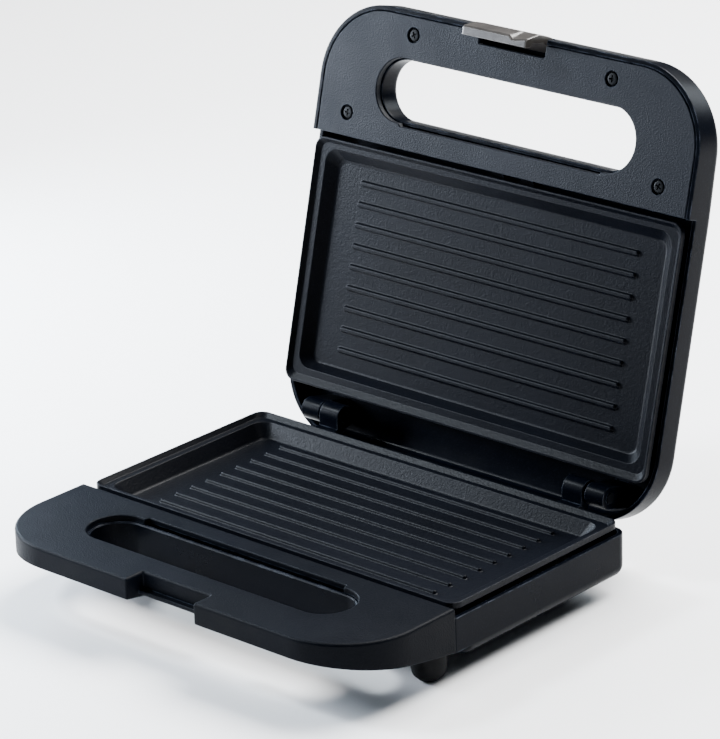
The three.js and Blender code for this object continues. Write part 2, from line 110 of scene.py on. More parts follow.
# raised field on the lid: half sizes, middle, corner radius, width of the slope round it, height
FIELD_X = 72
FIELD_Y = 33
FIELD_MID = 137
FIELD_R = 20
FIELD_SLOPE = 14
FIELD_H = 2.2
PANEL_T = 3.2
LID_GAP = 0.3
HINGE_Y = 201.2
HINGE_Z = TOP + 1.1
PIN_R = 2.5
BASE_LUG_R = 6
BASE_LUG_X = 70
BASE_LUG_W = 12
LID_LUG_R = 5.5
LID_LUG_X = 83
LID_LUG_W = 11
LATCH_X = 19.3
LENS_X = 9
LENS_Y = 72
LENS_R = 2.9
LENS_HOLE = LENS_R + 0.4
GLAND_X = -45
GLAND_Z = 22
FEET = {"front": (101.6, 63.2), "rear": (90, 180)}
SCREWS_LID = [(60, 11.3), (94.8, 54.8)]
SCREWS_BASE = [(60, 13), (87, 48.5)]

joints = {j["name"]: j for j in frame["joints"]}
lid_hinge = Vector(joints["lid_hinge"]["pos_m"])
open_angle = math.radians(joints["lid_hinge"]["range_deg"][1])
front_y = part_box("base_grip_cover")[0].y

SCALE = Matrix.Scale(MM, 4)
BASE = Matrix.Translation((0, front_y, 0)) @ SCALE
LID = (Matrix.Translation(lid_hinge) @ Matrix.Rotation(-open_angle, 4, "X")
       @ Matrix.Translation(Vector((0, -HINGE_Y, TOP + LID_GAP - HINGE_Z)) * MM) @ SCALE)
FACE_DOWN = LID @ Matrix.Rotation(math.pi, 4, "Y")


def grip_under(y):
    """Sloped underside of the base grip."""
    return TOP - GRIP_DROP - GRIP_SLOPE * y


# ---- outlines ----
def rounded(corners, inset=0.0, n=8):
    """Closed outline through (x, y, radius) corners, anticlockwise, moved inwards by inset.

    Every inset gives the same number of points, so that outlines can be lofted."""
    pts = []
    count = len(corners)
    for i, (x, y, r) in enumerate(corners):
        p = Vector((x, y))
        a = (p - Vector(corners[i - 1][:2])).normalized()
        b = (Vector(corners[(i + 1) % count][:2]) - p).normalized()
        na, nb = Vector((-a.y, a.x)), Vector((-b.y, b.x))
        turn = math.atan2(a.x * b.y - a.y * b.x, a.dot(b))
        p = p + (na + nb) * (inset / (1 + na.dot(nb)))
        if r == 0:
            pts.append(p)
            continue
        side = 1 if turn > 0 else -1
        rad = max(r - side * inset, 0.02)
        centre = p + (na + nb) * (side * rad / (1 + na.dot(nb)))
        for k in range(n + 1):
            ang = turn * k / n
            v = -na * side * rad
            c, s = math.cos(ang), math.sin(ang)
            pts.append(centre + Vector((v.x * c - v.y * s, v.x * s + v.y * c)))
    return pts


def plan(x, y0, y1, r_front, r_rear, inset=0.0, n=16):
    return rounded([(x, y0, r_front), (x, y1, r_rear), (-x, y1, r_rear), (-x, y0, r_front)], inset, n)


def stadium(cy, hx, hy, inset=0.0, n=14):
    r = hy * 0.995
    return rounded([(hx, cy - hy, r), (hx, cy + hy, r), (-hx, cy + hy, r), (-hx, cy - hy, r)], inset, n)


def circle(cx, cy, r, n=32):
    angles = [2 * math.pi * k / n for k in range(n)]
    return [Vector((cx + r * math.cos(a), cy + r * math.sin(a))) for a in angles]


def arc(cx, cy, r, degrees):
    """Points of a circle at the given angles."""
    angles = [math.radians(a) for a in degrees]
    return [(cx + r * math.cos(a), cy + r * math.sin(a)) for a in angles]


def profile(points, n=5):
    """Open polyline through (a, b, radius) points, corners rounded."""
    out = []
    for i, (x, y, r) in enumerate(points):
        p = Vector((x, y))
        if r == 0 or i in (0, len(points) - 1):
            out.append((x, y))
            continue
        a = (p - Vector(points[i - 1][:2])).normalized()
        b = (Vector(points[i + 1][:2]) - p).normalized()
        turn = math.acos(max(-1, min(1, a.dot(b))))
        t = r * math.tan(turn / 2)
        p0, p1 = p - a * t, p + b * t
        for k in range(n + 1):
            u = k / n
            q = p0 * (1 - u) ** 2 + p * 2 * u * (1 - u) + p1 * u ** 2
            out.append((q.x, q.y))
    return out


def inside(poly, x, y):
    hit = False
    for i, p in enumerate(poly):
        q = poly[i - 1]
        if (p.y > y) != (q.y > y) and x < (q.x - p.x) * (y - p.y) / (q.y - p.y) + p.x:
            hit = not hit
    return hit


def clearance(poly, x, y):
    """Distance from a point to the nearest corner of an outline."""
    return min((p.x - x) ** 2 + (p.y - y) ** 2 for p in poly) ** 0.5


def smooth(t):
    """Smooth step from 0 to 1."""
    t = max(0.0, min(1.0, t))
    return t * t * (3 - 2 * t)


def height(z, p):
    """z as a number, or as a function of x and y taken at p."""
    return z(p.x, p.y) if callable(z) else z


# ---- meshes ----
class Piece:
    """One mesh in millimetres, put together from lofts and caps that share their edges."""

    def __init__(self):
        self.bm = bmesh.new()

    def loft(self, rings):
        rows = [[self.bm.verts.new(p) for p in ring] for ring in rings]
        for a, b in zip(rows, rows[1:]):
            for i in range(len(a)):
                j = (i + 1) % len(a)
                self.bm.faces.new((a[i], a[j], b[j], b[i]))
        return self

    def wall(self, outline, steps):
        """Loft of outline(inset) at each (inset, z) step; z is a number or a function of x and y."""
        return self.loft([[Vector((p.x, p.y, height(z, p))) for p in outline(i)] for i, z in steps])

    def cap(self, outer, holes=(), z=0.0, grid=0.0):
        """Face across an outline with holes; grid adds inner points so that a curved z shows."""
        pts, edges = [], []
        for loop in [outer, *holes]:
            base = len(pts)
            pts += [Vector((p.x, p.y)) for p in loop]
            edges += [(base + k, base + (k + 1) % len(loop)) for k in range(len(loop))]
        if grid:
            xs, ys = [p.x for p in outer], [p.y for p in outer]
            nx, ny = int((max(xs) - min(xs)) / grid), int((max(ys) - min(ys)) / grid)
            for i in range(1, nx):
                for j in range(1, ny):
                    x = min(xs) + (max(xs) - min(xs)) * i / nx
                    y = min(ys) + (max(ys) - min(ys)) * j / ny
                    if inside(outer, x, y) and not any(inside(h, x, y) for h in holes):
                        if all(clearance(loop, x, y) > grid * 0.55 for loop in [outer, *holes]):
                            pts.append(Vector((x, y)))
        verts, _, faces, *_ = delaunay_2d_cdt(pts, edges, [], 0, 1e-5)
        made = [None] * len(verts)
        for f in faces:
            c = sum((verts[k] for k in f), Vector((0, 0))) / len(f)
            if not inside(outer, c.x, c.y) or any(inside(h, c.x, c.y) for h in holes):
                continue
            for k in f:
                if made[k] is None:
                    made[k] = self.bm.verts.new((verts[k].x, verts[k].y, height(z, verts[k])))
            self.bm.faces.new([made[k] for k in f])
        return self

    def add(self, other, matrix=None):
        """Takes in another piece's faces."""
        if matrix is not None:
            other.bm.transform(matrix)
        mesh = bpy.data.meshes.new("joined")
        other.bm.to_mesh(mesh)
        self.bm.from_mesh(mesh)
        bpy.data.meshes.remove(mesh)
        return self

    def place(self, name, matrix, body, slot, material, replaces, sharp=38):
        bm = self.bm
        bmesh.ops.remove_doubles(bm, verts=bm.verts, dist=2e-3)
        bmesh.ops.dissolve_degenerate(bm, dist=1e-4, edges=bm.edges)
        bmesh.ops.recalc_face_normals(bm, faces=bm.faces)
        bm.transform(matrix)
        for f in bm.faces:
            f.smooth = True
        for e in bm.edges:
            e.smooth = len(e.link_faces) == 2 and e.calc_face_angle(0) < math.radians(sharp)
        mesh = bpy.data.meshes.new(name)
        bm.to_mesh(mesh)
        bm.free()
        obj = bpy.data.objects.new(name, mesh)
        bpy.context.scene.collection.objects.link(obj)
        mesh.materials.append(material)
        mod = obj.modifiers.new("flat_faces", "WEIGHTED_NORMAL")
        mod.mode = "FACE_AREA"
        mod.weight = 100
        mod.keep_sharp = True
        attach(obj, body)
        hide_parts(*replaces)


def turned(points, n=40):
    """Closed shape turned about z from (radius, z) points; ends on the axis where the radius is 0."""
    piece = Piece()
    rings = []
    for r, z in points:
        r = max(r, 1e-4)
        angles = [2 * math.pi * k / n for k in range(n)]
        rings.append([Vector((r * math.cos(a), r * math.sin(a), z)) for a in angles])
    return piece.loft(rings)


# ---- materials ----
class Nodes:
    def __init__(self, name):
        self.mat = bpy.data.materials.new(name)
        self.mat.use_nodes = True
        self.tree = self.mat.node_tree
        self.shader = self.tree.nodes["Principled BSDF"]
        self.coords = self.new("ShaderNodeTexCoord").outputs["Object"]

    def new(self, kind, **values):
        node = self.tree.nodes.new(kind)
        for k, v in values.items():
            setattr(node, k, v)
        return node

    def link(self, a, b):
        self.tree.links.new(a, b)

    def noise(self, scale, detail=3.0, rough=0.55, stretch=None):
        node = self.new("ShaderNodeTexNoise")
        node.inputs["Scale"].default_value = scale
        node.inputs["Detail"].default_value = detail
        node.inputs["Roughness"].default_value = rough
        source = self.coords
        if stretch:
            mapping = self.new("ShaderNodeMapping")
            mapping.inputs["Scale"].default_value = stretch
            self.link(source, mapping.inputs["Vector"])
            source = mapping.outputs["Vector"]
        self.link(source, node.inputs["Vector"])
        return node.outputs["Fac"]

    def cells(self, scale):
        node = self.new("ShaderNodeTexVoronoi")
        node.inputs["Scale"].default_value = scale
        self.link(self.coords, node.inputs["Vector"])
        return node.outputs["Distance"]

    def ramp(self, fac, low, high, a, b):
        """Maps fac from low..high to a..b, clamped."""
        node = self.new("ShaderNodeMapRange", clamp=True)
        for key, v in (("From Min", low), ("From Max", high), ("To Min", a), ("To Max", b)):
            node.inputs[key].default_value = v
        self.link(fac, node.inputs["Value"])
        return node.outputs["Result"]

    def math(self, op, a, b):
        node = self.new("ShaderNodeMath", operation=op)
        for i, v in enumerate((a, b)):
            if isinstance(v, (int, float)):
                node.inputs[i].default_value = v
            else:
                self.link(v, node.inputs[i])
        return node.outputs[0]

    def mix(self, fac, a, b):
        node = self.new("ShaderNodeMix", data_type="RGBA")
        self.link(fac, node.inputs[0])
        for socket, v in ((node.inputs[6], a), (node.inputs[7], b)):
            if isinstance(v, tuple):
                socket.default_value = (*v, 1)
            else:
                self.link(v, socket)
        return node.outputs[2]

    def edges(self, radius):
        """1 on sharp outer edges, 0 on flat faces."""
        bevel = self.new("ShaderNodeBevel", samples=4)
        bevel.inputs["Radius"].default_value = radius
        geometry = self.new("ShaderNodeNewGeometry")
        dot = self.new("ShaderNodeVectorMath", operation="DOT_PRODUCT")
        self.link(bevel.outputs["Normal"], dot.inputs[0])
        self.link(geometry.outputs["Normal"], dot.inputs[1])
        return self.ramp(dot.outputs["Value"], 0.995, 0.86, 0.0, 1.0)

    def bump(self, layers):
        """Stacks bumps: (height, strength, distance in metres)."""
        normal = None
        for h, strength, distance in layers:
            node = self.new("ShaderNodeBump")
            node.inputs["Strength"].default_value = strength
            node.inputs["Distance"].default_value = distance
            self.link(h, node.inputs["Height"])
            if normal:
                self.link(normal, node.inputs["Normal"])
            normal = node.outputs["Normal"]
        self.link(normal, self.shader.inputs["Normal"])

    def set(self, **values):
        for k, v in values.items():
            self.shader.inputs[k.replace("_", " ").title().replace("Ior", "IOR")].default_value = v

    def colour(self, value):
        self.link(value, self.shader.inputs["Base Color"])

    def rough(self, value):
        self.link(value, self.shader.inputs["Roughness"])


def moulded_plastic(name, dark, light, edge_highlight_tone, rough):
    """Satin moulded plastic: spark-eroded texture, soft tone drift, paler edges that are a painted highlight
    broken up by noise.
    """
    m = Nodes(name)
    drift = m.ramp(m.noise(14, 2), 0.35, 0.65, 0.0, 1.0)
    base = m.mix(drift, dark, light)
    fine = m.noise(2600, 2, 0.6)
    flecks = m.ramp(m.noise(1500, 3, 0.7), 0.56, 0.72, 0.0, 0.06)
    # pale flecks at random, in the same tone as the painted edge highlight
    base = m.mix(flecks, base, edge_highlight_tone)
    # painted highlight along the sharp edges, patchy through noise; these edges are also a little smoother
    painted_edge_highlight = m.math("MULTIPLY", m.edges(0.0007), m.ramp(m.noise(160, 4, 0.65), 0.42, 0.62, 0.05, 0.55))
    m.colour(m.mix(painted_edge_highlight, base, edge_highlight_tone))
    satin = m.ramp(m.noise(45, 3), 0.3, 0.7, rough - 0.04, rough + 0.05)
    m.rough(m.math("ADD", satin, m.math("MULTIPLY", painted_edge_highlight, -0.06)))
    m.bump([(m.noise(420, 2), 0.2, 0.00004), (m.cells(1100), 0.3, 0.00005), (fine, 0.24, 0.00002)])
    m.set(specular_ior_level=0.03)
    return m.mat


def grained_plastic(name, dark, light, edge_highlight_tone, specular=0.1):
    """Slate panel plastic with a fine pebble grain."""
    m = Nodes(name)
    drift = m.ramp(m.noise(11, 2), 0.35, 0.65, 0.0, 1.0)
    cell = m.cells(1300)
    # painted shade in the grain's valleys: darker towards the borders of the grain cells
    painted_valley_shade = m.ramp(cell, 0.15, 0.6, 0.0, 1.0)
    base = m.mix(m.math("MULTIPLY", painted_valley_shade, 0.35), m.mix(drift, light, dark), dark)
    # painted highlight along the sharp edges, patchy through noise
    painted_edge_highlight = m.math("MULTIPLY", m.edges(0.0006), m.ramp(m.noise(180, 4, 0.65), 0.4, 0.62, 0.1, 0.7))
    m.colour(m.mix(painted_edge_highlight, base, edge_highlight_tone))
    m.rough(m.ramp(m.noise(60, 4), 0.3, 0.7, 0.46, 0.56))
    m.bump([(m.noise(300, 3), 0.25, 0.00006), (cell, 0.75, 0.00012), (m.noise(900, 3, 0.7), 0.5, 0.00008)])
    m.set(specular_ior_level=specular)
    return m.mat


def nonstick_coating(name):
    """Sprayed non-stick: orange peel, fine pale specks, paler edges that are a painted highlight broken up
    by noise.
    """
    m = Nodes(name)
    drift = m.ramp(m.noise(18, 3), 0.35, 0.65, 0.0, 1.0)
    base = m.mix(drift, (0.0010, 0.0014, 0.0028), (0.0018, 0.0024, 0.0044))
    specks = m.ramp(m.noise(2300, 1, 0.5), 0.66, 0.72, 0.0, 0.5)
    base = m.mix(specks, base, (0.016, 0.018, 0.023))
    # painted highlight along the sharp edges of the plate, patchy through noise
    painted_edge_highlight = m.math("MULTIPLY", m.edges(0.0006), m.ramp(m.noise(140, 4, 0.6), 0.4, 0.65, 0.1, 0.5))
    m.colour(m.mix(painted_edge_highlight, base, (0.06, 0.065, 0.078)))
    m.rough(m.ramp(m.noise(900, 3), 0.3, 0.7, 0.34, 0.46))
    m.bump([(m.noise(620, 3, 0.6), 0.8, 0.00014), (m.cells(1000), 0.5, 0.00008)])
    m.set(specular_ior_level=0.06)
    return m.mat


def latch_plastic(name):
    """Warm grey metallised plastic."""
    m = Nodes(name)
    drift = m.ramp(m.noise(60, 3), 0.35, 0.65, 0.0, 1.0)
    base = m.mix(drift, (0.028, 0.0245, 0.0225), (0.048, 0.043, 0.039))
    # painted highlight along the sharp edges, much paler than the body, patchy through noise
    painted_edge_highlight = m.math("MULTIPLY", m.edges(0.0005), m.ramp(m.noise(300, 3), 0.35, 0.65, 0.2, 0.8))
    m.colour(m.mix(painted_edge_highlight, base, (0.24, 0.225, 0.21)))
    m.rough(m.ramp(m.noise(500, 3), 0.3, 0.7, 0.3, 0.42))
    m.bump([(m.noise(1800, 2), 0.15, 0.00002)])
    m.set(metallic=0.25)
    return m.mat


def metal(name, dark, light, rough, streak=(1, 1, 1), metallic=1.0, stain=None, specular=0.5):
    """Drawn or turned metal with fine streaks and handling marks."""
    m = Nodes(name)
    base = m.mix(m.ramp(m.noise(220, 4, 0.6, streak), 0.35, 0.65, 0.0, 1.0), dark, light)
    if stain:
        base = m.mix(m.ramp(m.noise(40, 4), 0.5, 0.7, 0.0, 0.6), base, stain)
    m.colour(base)
    m.rough(m.ramp(m.noise(350, 4, 0.6, streak), 0.3, 0.7, rough - 0.08, rough + 0.1))
    m.bump([(m.noise(900, 3, 0.6, streak), 0.12, 0.00002)])
    m.set(metallic=metallic, specular_ior_level=specular)
    return m.mat


def rubber(name):
    m = Nodes(name)
    dust = m.ramp(m.noise(90, 5, 0.65), 0.5, 0.75, 0.0, 0.5)
    m.colour(m.mix(dust, (0.0022, 0.0024, 0.0030), (0.008, 0.0085, 0.0095)))
    m.rough(m.ramp(m.noise(300, 3), 0.3, 0.7, 0.62, 0.8))
    m.bump([(m.noise(1400, 3), 0.25, 0.00004)])
    m.set(specular_ior_level=0.1)
    return m.mat


def ceramic_body(name):
    m = Nodes(name)
    m.colour(m.mix(m.ramp(m.noise(300, 4), 0.4, 0.65, 0.0, 1.0), (0.62, 0.58, 0.50), (0.72, 0.69, 0.62)))
    m.rough(m.ramp(m.noise(200, 3), 0.3, 0.7, 0.5, 0.7))
    m.bump([(m.noise(1200, 3), 0.2, 0.00004)])
    return m.mat


def tinted_lens(name, dark, light):
    m = Nodes(name)
    m.colour(m.mix(m.ramp(m.noise(500, 2), 0.4, 0.6, 0.0, 1.0), dark, light))
    m.rough(m.ramp(m.noise(400, 2), 0.3, 0.7, 0.1, 0.18))
    m.bump([(m.cells(1500), 0.15, 0.00005)])
    m.set(coat_weight=0.4, coat_roughness=0.05, transmission_weight=0.25)
    return m.mat


# the last colour of each plastic is the tone of its painted edge highlight
CASING = moulded_plastic(
    "casing_black", dark=(0.0003, 0.0007, 0.0020), light=(0.0006, 0.0012, 0.0030), edge_highlight_tone=(0.11, 0.13, 0.17),
    rough=0.30)
PANEL = grained_plastic(
    "panel_slate", dark=(0.0014, 0.0024, 0.0052), light=(0.0026, 0.0042, 0.0080), edge_highlight_tone=(0.060, 0.075, 0.100))
COVER = grained_plastic(
    "cover_slate", dark=(0.0005, 0.0010, 0.0024), light=(0.0010, 0.0018, 0.0040), edge_highlight_tone=(0.060, 0.078, 0.105),
    specular=0.04)
NONSTICK = nonstick_coating("nonstick_dark")
LATCH = latch_plastic("latch_grey")
STEEL = metal("drawn_steel", (0.38, 0.38, 0.38), (0.55, 0.55, 0.54), 0.32)
SHEET = metal(
    "reflector_sheet", (0.5, 0.5, 0.5), (0.66, 0.66, 0.64), 0.3, (1, 8, 1), stain=(0.32, 0.27, 0.2))
BLACK_STEEL = metal(
    "blackened_steel", (0.0010, 0.0014, 0.0022), (0.0025, 0.0032, 0.0045), 0.4, metallic=0.0, specular=0.07)
ELEMENT = metal("heater_sheath", (0.10, 0.09, 0.085), (0.2, 0.18, 0.17), 0.45, stain=(0.09, 0.06, 0.05))
RUBBER = rubber("foot_rubber")
CERAMIC = ceramic_body("ceramic_body")
RED = tinted_lens("lens_red_tint", (0.30, 0.008, 0.008), (0.42, 0.015, 0.012))
GREEN = tinted_lens("lens_green_tint", (0.008, 0.16, 0.04), (0.012, 0.24, 0.06))


# ---- base ----
def cover_outline(inset=0.0):
    x = BODY_W / 2
    y = GRIP_D
    return rounded([
        (x, 0, CORNER_FRONT), (x, y, 0.7), (112.6, y, 0), (112.0, y, 0),
        (-112.0, y, 0), (-112.6, y, 0), (-x, y, 0.7), (-x, 0, CORNER_FRONT),
        (-RECESS_X, 0, 1.0), (-RECESS_X, RECESS_D, 0.7), (RECESS_X, RECESS_D, 0.7), (RECESS_X, 0, 1.0),
    ], inset, 14)


def slot_outline(half_y, rebate, inset=0.0):
    """Grip slot; its plate-side edge is set back between x = -62 and 62."""
    r = half_y * 0.995
    y0, y1 = SLOT_Y - half_y, SLOT_Y + half_y
    return rounded([
        (SLOT_X, y0, r), (SLOT_X, y1, r), (61.8, y1, 0.5), (60.6, y1 + rebate, 0.5),
        (-60.6, y1 + rebate, 0.5), (-61.8, y1, 0.5), (-SLOT_X, y1, r), (-SLOT_X, y0, r),
    ], inset, 14)


def fillet(r, top, n=6):
    """(inset, z) steps of a rounded top edge, from the face outwards and down."""
    angles = [k * math.pi / 2 / n for k in range(n + 1)]
    return [(r * (1 - math.sin(a)), top - r * (1 - math.cos(a))) for a in angles]


def base_cover():
    def under(x, y):
        return TOP - 9 if y > GRIP_D - 2.5 and abs(x) < 112.3 else grip_under(y)

    def above(dz):
        return lambda x, y: under(x, y) + dz

    ceiling = TOP - 2.6
    steps = fillet(1.5, TOP)
    steps += [(0, above(0.7)), (0.15, above(0.25)), (0.5, above(0.05)), (0.9, under)]
    steps += [(2.0, under), (2.0, ceiling)]
    slot = lambda inset: slot_outline(SLOT_BASE, 2.6, inset)
    piece = Piece().wall(cover_outline, steps)
    piece.cap(cover_outline(1.5), [slot(-0.7)], TOP)
    piece.wall(slot, [(-i, z) for i, z in fillet(0.7, TOP, 5)] + [(0, ceiling)])
    piece.cap(cover_outline(2.0), [slot(0)], ceiling)
    # catch ledge
    y1 = RECESS_D + 1
    z0 = TOP + LEDGE_Z
    z1 = TOP + LEDGE_Z + LEDGE_T
    ledge = profile([(y1, z0, 0), (LEDGE_Y, z0, 0.5), (LEDGE_Y, z1, 0.5), (y1, z1, 0)])
    xs = RECESS_X + 0.8
    piece.loft([[Vector((x, y, z)) for y, z in ledge] for x in (-xs, xs)])
    for x in (-xs, xs):
        piece.bm.faces.new([piece.bm.verts.new((x, y, z)) for y, z in ledge])
    return piece


def lower_casing():
    side = BODY_W / 2 - 0.5
    rim = TOP - RIM_DROP
    neck = grip_under(GRIP_D) - 0.2
    low = lambda i: plan(side, 72.5, BASE_D, 6.5, CORNER_BASE_REAR, i)
    high = lambda i: plan(side, GRIP_D + FIT, BASE_D, 0.8, CORNER_BASE_REAR, i)
    rings = []

    def add(outline, i, z):
        rings.append([Vector((p.x, p.y, height(z, p))) for p in outline(i)])

    bottom = 6.0
    for k in range(8):
        a = k * math.pi / 16
        add(low, bottom * (1 - math.sin(a)), UNDER + bottom * (1 - math.cos(a)))
    add(low, 0, UNDER + bottom)
    # the neck comes forward under the grip
    for p in rings:
        for v in p:
            v.z = min(v.z, neck) if v.y < 80 else v.z
    add(high, 0, lambda x, y: neck if y < 80 else UNDER + bottom)
    for i, dz in ((0, 0.5), (0.15, 0.15), (0.5, 0), (WALL - 0.4, 0), (WALL - 0.1, 0.15), (WALL, 0.5)):
        add(high, i, rim - dz)
    inner = lambda i: plan(side - WALL, GRIP_D + FIT + WALL, BASE_D - WALL, 0.8, CORNER_BASE_REAR - WALL, i)
    add(inner, 0, UNDER + 6)
    add(inner, 1.2, UNDER + 3.4)
    add(inner, 3.4, UNDER + 2.5)
    piece = Piece().loft(rings)
    piece.cap(low(bottom), [], UNDER)
    piece.cap(inner(3.4), [], UNDER + 2.5)

    # sloped floor of the grip with the wall of the grip slot
    def nose(inset=0.0):
        x = BODY_W / 2 - WALL - FIT
        y0 = WALL + FIT
        r = CORNER_FRONT - WALL - FIT
        nx, ny = RECESS_X + 2.3, RECESS_D + 2.3
        return rounded([
            (x, y0, r), (x, 68, 0.5), (-x, 68, 0.5), (-x, y0, r),
            (-nx, y0, 0.5), (-nx, ny, 0.5), (nx, ny, 0.5), (nx, y0, 0.5),
        ], inset, 12)

    tube = lambda i: stadium(SLOT_Y, SLOT_X - 1.2, SLOT_BASE - 1.2, i, 20)
    floor = lambda dz: (lambda x, y: grip_under(y) + 0.2 + dz)
    top = TOP - 2.6 - FIT
    piece.wall(nose, [(0.5, floor(0)), (0.1, floor(0.15)), (0, floor(0.5)), (0, floor(2.2))])
    piece.cap(nose(0.5), [tube(-0.6)], floor(0))
    piece.cap(nose(0), [tube(-1.8)], floor(2.2))
    piece.wall(tube, [(-0.6, floor(0)), (-0.2, floor(0.2)), (0, floor(0.7)), (0, top - 0.5), (-0.5, top),
                      (-1.5, top), (-1.8, top - 0.3), (-1.8, floor(2.2))])
    # hinge lugs
    for x0 in (BASE_LUG_X, -BASE_LUG_X - BASE_LUG_W):
        shape = arc(HINGE_Y, HINGE_Z, BASE_LUG_R, range(180, -91, -9))
        shape += [(HINGE_Y - 3, TOP - 9.0), (BASE_D - 1.6, TOP - 9.0), (BASE_D - 1.6, TOP - 3.5)]
        shape += [(HINGE_Y - BASE_LUG_R, TOP - 3.5)]
        piece.add(extruded(shape, x0, x0 + BASE_LUG_W, 0.6, [(HINGE_Y, HINGE_Z, PIN_R + FIT)]))
    return piece


def extruded(shape, x0, x1, edge, bores=()):
    """Shape in (y, z) drawn out along x with rounded ends; bores are (y, z, radius)."""
    pts = [Vector(p) for p in shape]
    area = sum(pts[i - 1].x * p.y - p.x * pts[i - 1].y for i, p in enumerate(pts))
    if area < 0:
        pts.reverse()

    def inset(d):
        out = []
        for i, p in enumerate(pts):
            a = (p - pts[i - 1]).normalized()
            b = (pts[(i + 1) % len(pts)] - p).normalized()
            na, nb = Vector((-a.y, a.x)), Vector((-b.y, b.x))
            out.append(p + (na + nb) * (d / (1 + max(na.dot(nb), -0.5))))
        return out

    piece = Piece()
    e = edge * 0.3
    steps = [(edge, x0), (e, x0 + e), (0, x0 + edge), (0, x1 - edge), (e, x1 - e), (edge, x1)]
    piece.loft([[Vector((p.x, p.y, x)) for p in inset(i)] for i, x in steps])
    holes = [circle(y, z, r, 28) for y, z, r in bores]
    for x in (x0, x1):
        piece.cap(inset(edge), holes, x)
    for h in holes:
        piece.loft([[Vector((p.x, p.y, x)) for p in h] for x in (x0, x1)])
    turn = Matrix(((0, 0, 1, 0), (1, 0, 0, 0), (0, 1, 0, 0), (0, 0, 0, 1)))
    piece.bm.transform(turn)
    return piece


def cooking_plate(rim, depth, rear):
    """Plate facing +z with its edge at that height: bevelled edge, flat ledge, sloped pocket, ribbed floor.

    rear is the rear edge, then how far in front of it the ledge, the pocket and the floor start."""
    floor = rim - depth
    ledge = rim - LEDGE_DROP
    y1, (ledge_in, pocket_in, floor_in) = rear
    # inset at the sides, at the front and at the rear, corner radius
    stages = [
        (0, 0, 0, 5.5), (2.6, 2.6, ledge_in, 4.5), (6.1, 5.0, pocket_in, 7),
        (11.5, 10.3, floor_in, 5), (14.5, 13.3, floor_in + 3, 4)]

    def outline(i):
        k = max(k for k in range(4) if k == 0 or stages[k][0] <= i)
        p, q = stages[k], stages[k + 1]
        t = (i - p[0]) / (q[0] - p[0])
        front, back, r = (p[j] + (q[j] - p[j]) * t for j in (1, 2, 3))
        return plan(PLATE_X - i, PLATE_Y0 + front, y1 - back, r, r, 0, 12)

    path = profile([
        (10.1, floor - PLATE_T, 0), (4.2, ledge - 2.6, 1.0), (2.4, rim - EDGE_H, 0.3),
        (0, rim - EDGE_H, 0.4), (0, rim, 0.3), (0.7, rim, 0.25), (2.6, ledge, 0.5), (6.1, ledge, 0.7),
        (11.5, floor, 2.6), (14, floor, 0)], 6)
    piece = Piece()
    piece.loft([[Vector((p.x, p.y, z)) for p in outline(i)] for i, z in path])
    piece.cap(outline(10.1), [], floor - PLATE_T)
    ribs = [RIB_Y0 + k * RIB_PITCH for k in range(RIBS)]
    steps = [
        (-0.8, 0), (-0.42, 0.07), (-0.15, 0.28), (0.0, 0.62), (0.12, 1.0), (0.32, 1.3), (0.6, 1.46),
        (0.9, 1.5)]
    rib = lambda y, i: stadium(y, RIB_X, 1.25, i, 8)
    piece.cap(outline(14), [rib(y, -0.8) for y in ribs], floor)
    for y in ribs:
        piece.loft([[Vector((p.x, p.y, floor + z)) for p in rib(y, i)] for i, z in steps])
        piece.cap(rib(y, 0.9), [], floor + 1.5)
    return piece


def foot(x, y, top):
    """Dome foot; top is the height it reaches, a number or a function."""
    points = profile([(0, 0, 0), (4.6, 0, 1.2), (7.3, 2.6, 3.5), (8.2, 6.5, 3), (8.2, 40, 0)], 8)
    rings = []
    for r, z in points:
        ring = []
        for k in range(48):
            a = 2 * math.pi * k / 48
            px, py = x + max(r, 1e-4) * math.cos(a), y + max(r, 1e-4) * math.sin(a)
            limit = top(px, py) if callable(top) else top
            ring.append(Vector((px, py, min(z, limit))))
        rings.append(ring)
    piece = Piece().loft(rings)
    loop = [Vector((p.x, p.y)) for p in rings[-1]]
    piece.cap(loop, [], top)
    return piece


def screw(r, head, shank, length):
    """Pan head towards -z with a cross recess, head face at z = 0."""
    piece = Piece()
    w, l = 0.42, r * 0.6
    cross = [
        (l, -w), (l, w), (w, w), (w, l), (-w, l), (-w, w),
        (-l, w), (-l, -w), (-w, -w), (-w, -l), (w, -l), (w, -w)]
    cross = [Vector(p) for p in cross]
    ring = lambda rr: circle(0, 0, rr, 36)
    face = r * 0.72
    path = profile([
        (face, 0, 0), (r * 0.93, 0.15, 0.4), (r, head * 0.5, 0.6), (r, head, 0.2), (shank, head, 0)], 4)
    piece.loft([[Vector((p.x, p.y, z)) for p in ring(rr)] for rr, z in path])
    shaft = [(shank, head), (shank, head + length - 1), (0.3, head + length)]
    piece.loft([[Vector((p.x, p.y, z)) for p in ring(rr)] for rr, z in shaft])
    piece.cap(ring(0.3), [], head + length)
    piece.cap(ring(face), [cross], 0)
    small = [p * 0.72 for p in cross]
    piece.loft([[Vector((p.x, p.y, z)) for p in c] for c, z in ((cross, 0), (small, head * 0.6))])
    piece.cap(small, [], head * 0.6)
    return piece


# ---- lid (drawn closed, panel face at z = 0) ----
def lid_height(x, y):
    """Outer face of the lid."""
    grip = LID_GRIP_TOP + LID_GRIP_SLOPE * y
    t = smooth((y - GRIP_D) / 3.0)
    z = grip * (1 - t) + LID_TOP * t
    # raised field over the cooking plate
    dx = abs(x) - FIELD_X + FIELD_R
    dy = abs(y - FIELD_MID) - FIELD_Y + FIELD_R
    d = math.hypot(max(dx, 0), max(dy, 0)) + min(max(dx, dy), 0) - FIELD_R
    return z + FIELD_H * smooth((FIELD_SLOPE - d) / FIELD_SLOPE)


